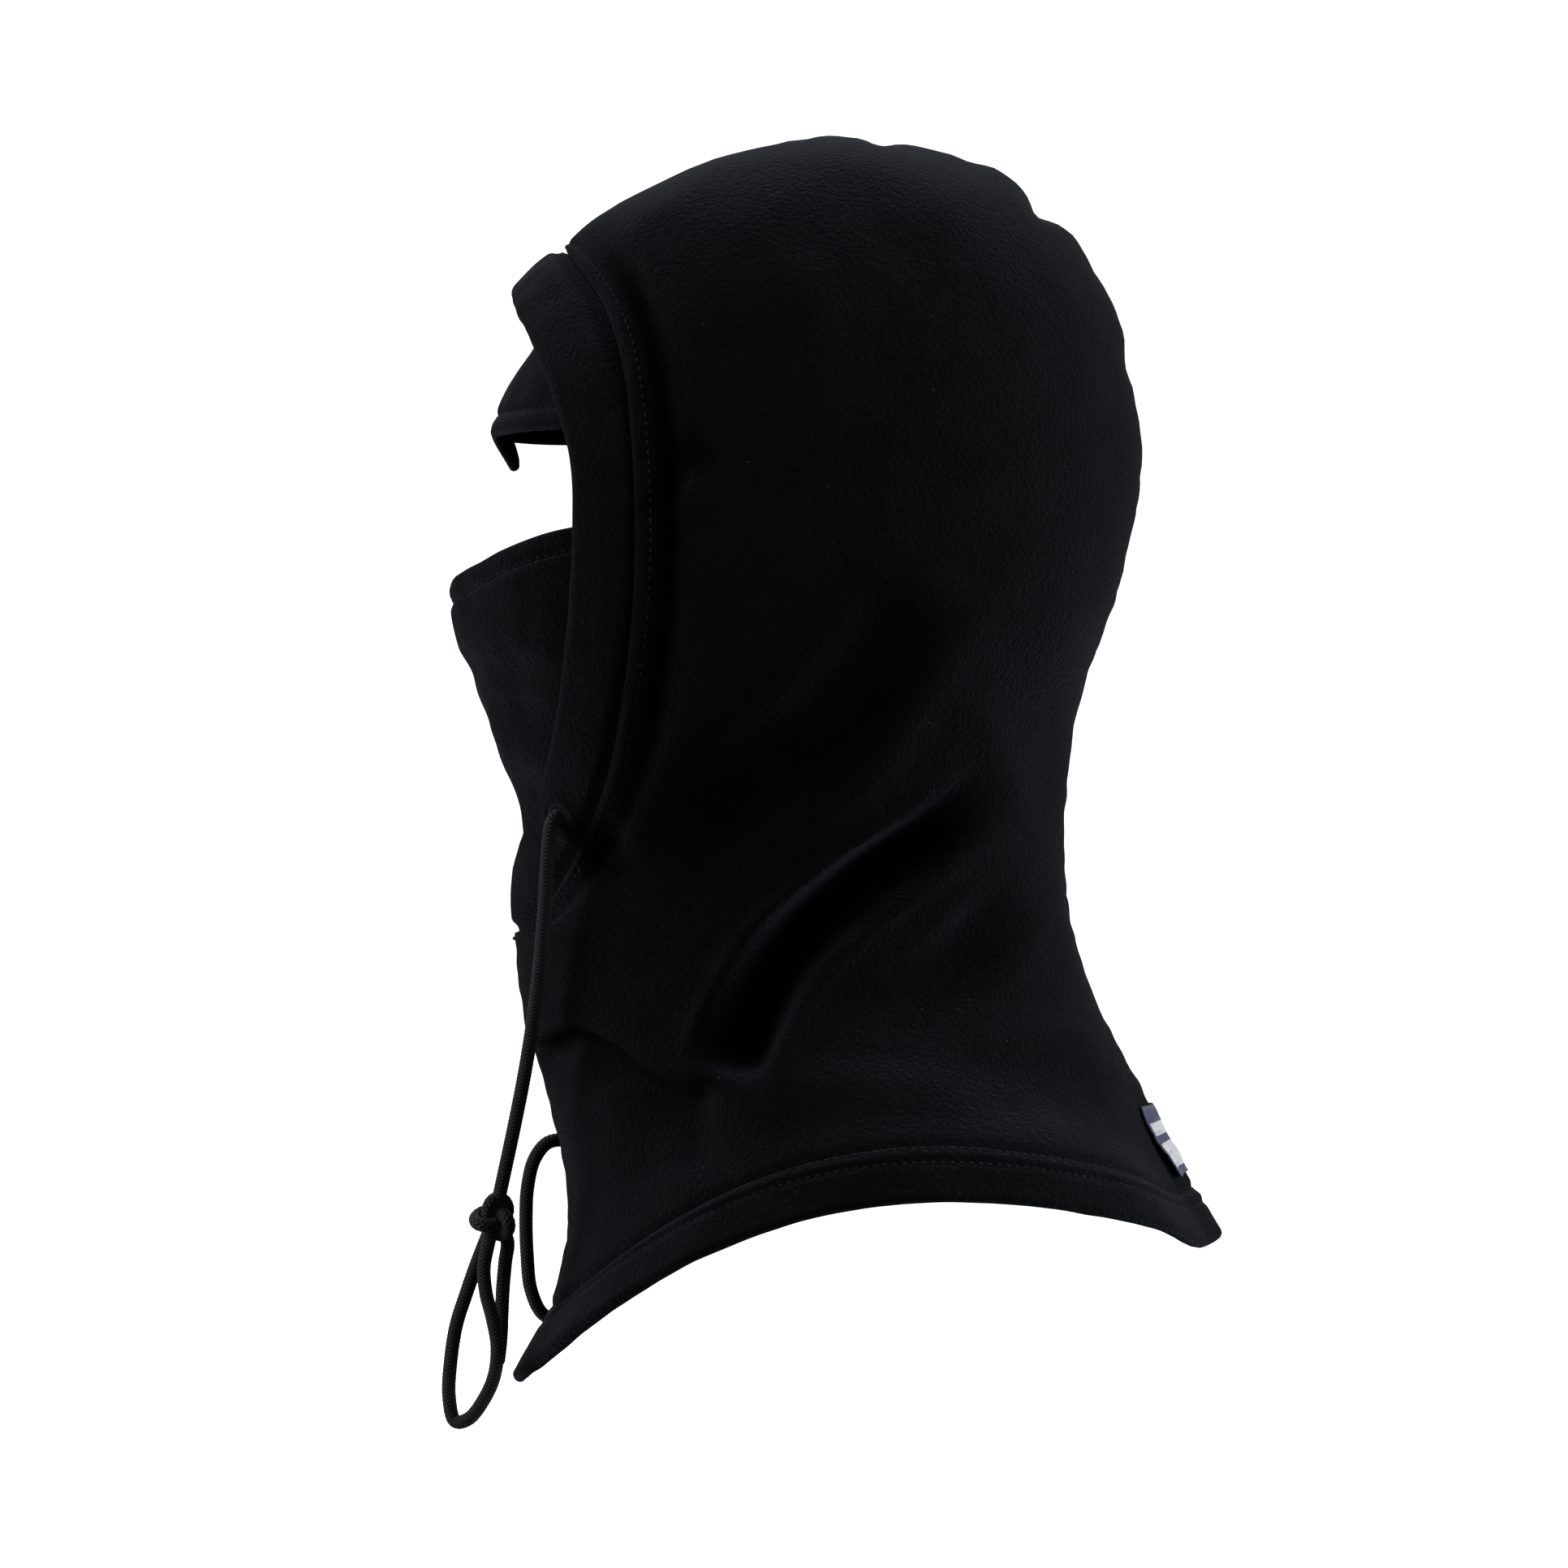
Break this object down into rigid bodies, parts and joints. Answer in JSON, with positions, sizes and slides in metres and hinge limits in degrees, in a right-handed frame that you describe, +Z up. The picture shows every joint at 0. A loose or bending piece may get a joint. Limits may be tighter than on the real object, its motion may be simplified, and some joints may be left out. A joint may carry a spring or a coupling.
{
  "type": "balaclava",
  "caption": "Fleece balaclava: hood with a drawcord casing round the face, inner mask with an open eye band, and a flared bib with a turned hem.",
  "frame": {"origin": "middle of the wearer's head at eye level, where the head carries the hood", "axes": "+Z up, the face looks along -Y, +X is the wearer's left"},
  "size_m": [0.21, 0.2761, 0.4539],
  "materials": {
    "fleece": "brushed fleece pile, matt",
    "mask_fleece": "brushed fleece pile, matt",
    "cord": "braided polyester",
    "thread": "spun thread",
    "label": "woven satin stripes"
  },
  "bodies": {
    "hood": {"hood_panel_left": "fleece", "hood_panel_right": "fleece", "bib_hem_left": "fleece", "bib_hem_right": "fleece", "casing_left": "fleece", "casing_right": "fleece", "mask_panel": "mask_fleece", "brow_hem": "mask_fleece", "brow_panel": "mask_fleece", "drawcord_in_casing": "cord", "buttonhole_left": "thread", "buttonhole_right": "thread", "centre_back_seam": "thread", "front_neck_seam": "thread", "woven_label": "label"},
    "mask_edge": {"mask_top_hem": "mask_fleece"},
    "left_tail": {"cord_tail_left": "cord"},
    "left_knot": {"cord_knot_left": "cord", "cord_loop_left": "cord", "cord_end_left": "cord"},
    "right_tail": {"cord_tail_right": "cord"},
    "right_knot": {"cord_knot_right": "cord", "cord_loop_right": "cord", "cord_end_right": "cord"}
  },
  "joints": [
    {"name": "mask_pull_down", "type": "hinge", "parent": "hood", "child": "mask_edge", "pos_m": [0, -0.062, -0.015], "axis": [1, 0, 0], "range_deg": [0, 45], "deforming": ["mask_panel"]},
    {"name": "left_tail_swing", "type": "hinge", "parent": "hood", "child": "left_tail", "pos_m": [0.0462, -0.0883, -0.1164], "axis": [-1, 0, 0], "range_deg": [0, 50]},
    {"name": "left_cord_draw", "type": "slide", "parent": "left_tail", "child": "left_knot", "axis": [-0.0858, -0.1574, -0.9838], "range_m": [0, 0.05], "deforming": ["cord_tail_left"]},
    {"name": "right_tail_swing", "type": "hinge", "parent": "hood", "child": "right_tail", "pos_m": [-0.0462, -0.0883, -0.1164], "axis": [-1, 0, 0], "range_deg": [0, 50]},
    {"name": "right_cord_draw", "type": "slide", "parent": "right_tail", "child": "right_knot", "axis": [-0.0302, -0.4227, -0.9058], "range_m": [0, 0.05], "deforming": ["cord_tail_right"]}
  ]
}
